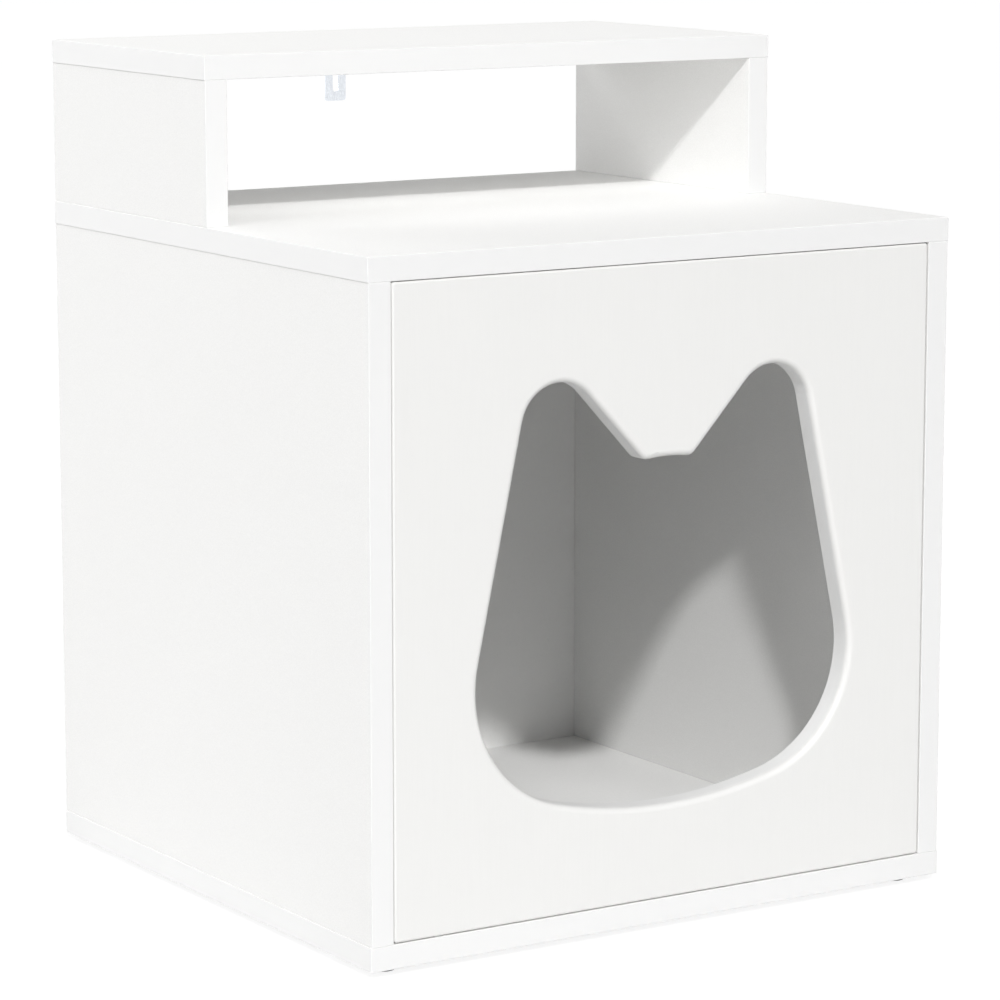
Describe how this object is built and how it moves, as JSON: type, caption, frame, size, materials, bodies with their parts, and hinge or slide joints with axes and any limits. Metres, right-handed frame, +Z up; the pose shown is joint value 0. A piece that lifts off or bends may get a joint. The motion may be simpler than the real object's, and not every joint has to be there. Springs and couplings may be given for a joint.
{
  "type": "cat house",
  "caption": "White board cat house on glide feet: a cabin with a hinged door that has a cat-head doorway, and an open shelf riser on the rear half of its table top",
  "frame": {"origin": "below the middle of the house's box, in the plane its feet stand on", "axes": "+Z up, -Y out of the front where the door is, +Y towards the wall behind, +X to the right as seen from the front"},
  "size_m": [0.425, 0.403, 0.535],
  "materials": {
    "white_board": "white melamine-faced chipboard with white edge bands, satin",
    "white_door_foil": "fibreboard wrapped in white foil on its front and rims, satin",
    "white_hardboard": "hardboard painted white, matt",
    "beech": "bare fluted beech",
    "zinc_steel": "zinc-plated steel",
    "grey_nylon": "moulded grey nylon",
    "white_plastic": "moulded white plastic",
    "grey_plastic": "moulded grey plastic",
    "ferrite": "pressed ferrite, matt"
  },
  "bodies": {
    "cabin": {"floor_board": "white_board", "left_side_panel": "white_board", "right_side_panel": "white_board", "table_top": "white_board", "left_riser_panel": "white_board", "right_riser_panel": "white_board", "riser_shelf": "white_board", "back_panel": "white_hardboard", "lower_pivot_bush": "grey_nylon", "upper_pivot_bush": "grey_nylon", "catch_body": "white_plastic", "catch_magnet": "ferrite", "catch_poles": "zinc_steel", "catch_screws": "zinc_steel", "wall_angle": "zinc_steel", "wall_angle_screws": "zinc_steel", "front_left_foot": "grey_plastic", "front_right_foot": "grey_plastic", "rear_left_foot": "grey_plastic", "rear_right_foot": "grey_plastic", "foot_nails": "zinc_steel", "cam_locks": "zinc_steel", "cam_bolts": "zinc_steel", "floor_dowels": "beech", "table_dowels": "beech", "shelf_dowels": "beech", "floor_screws": "zinc_steel", "riser_screws": "zinc_steel", "back_nails": "zinc_steel"},
    "door": {"cat_door": "white_door_foil", "lower_pivot_pin": "zinc_steel", "upper_pivot_pin": "zinc_steel", "strike_plate": "zinc_steel", "strike_screws": "zinc_steel"}
  },
  "joints": [
    {"name": "door_swing", "type": "hinge", "parent": "cabin", "child": "door", "pos_m": [-0.1643, -0.195, 0.218], "axis": [0, 0, -1], "range_deg": [0, 105]}
  ]
}
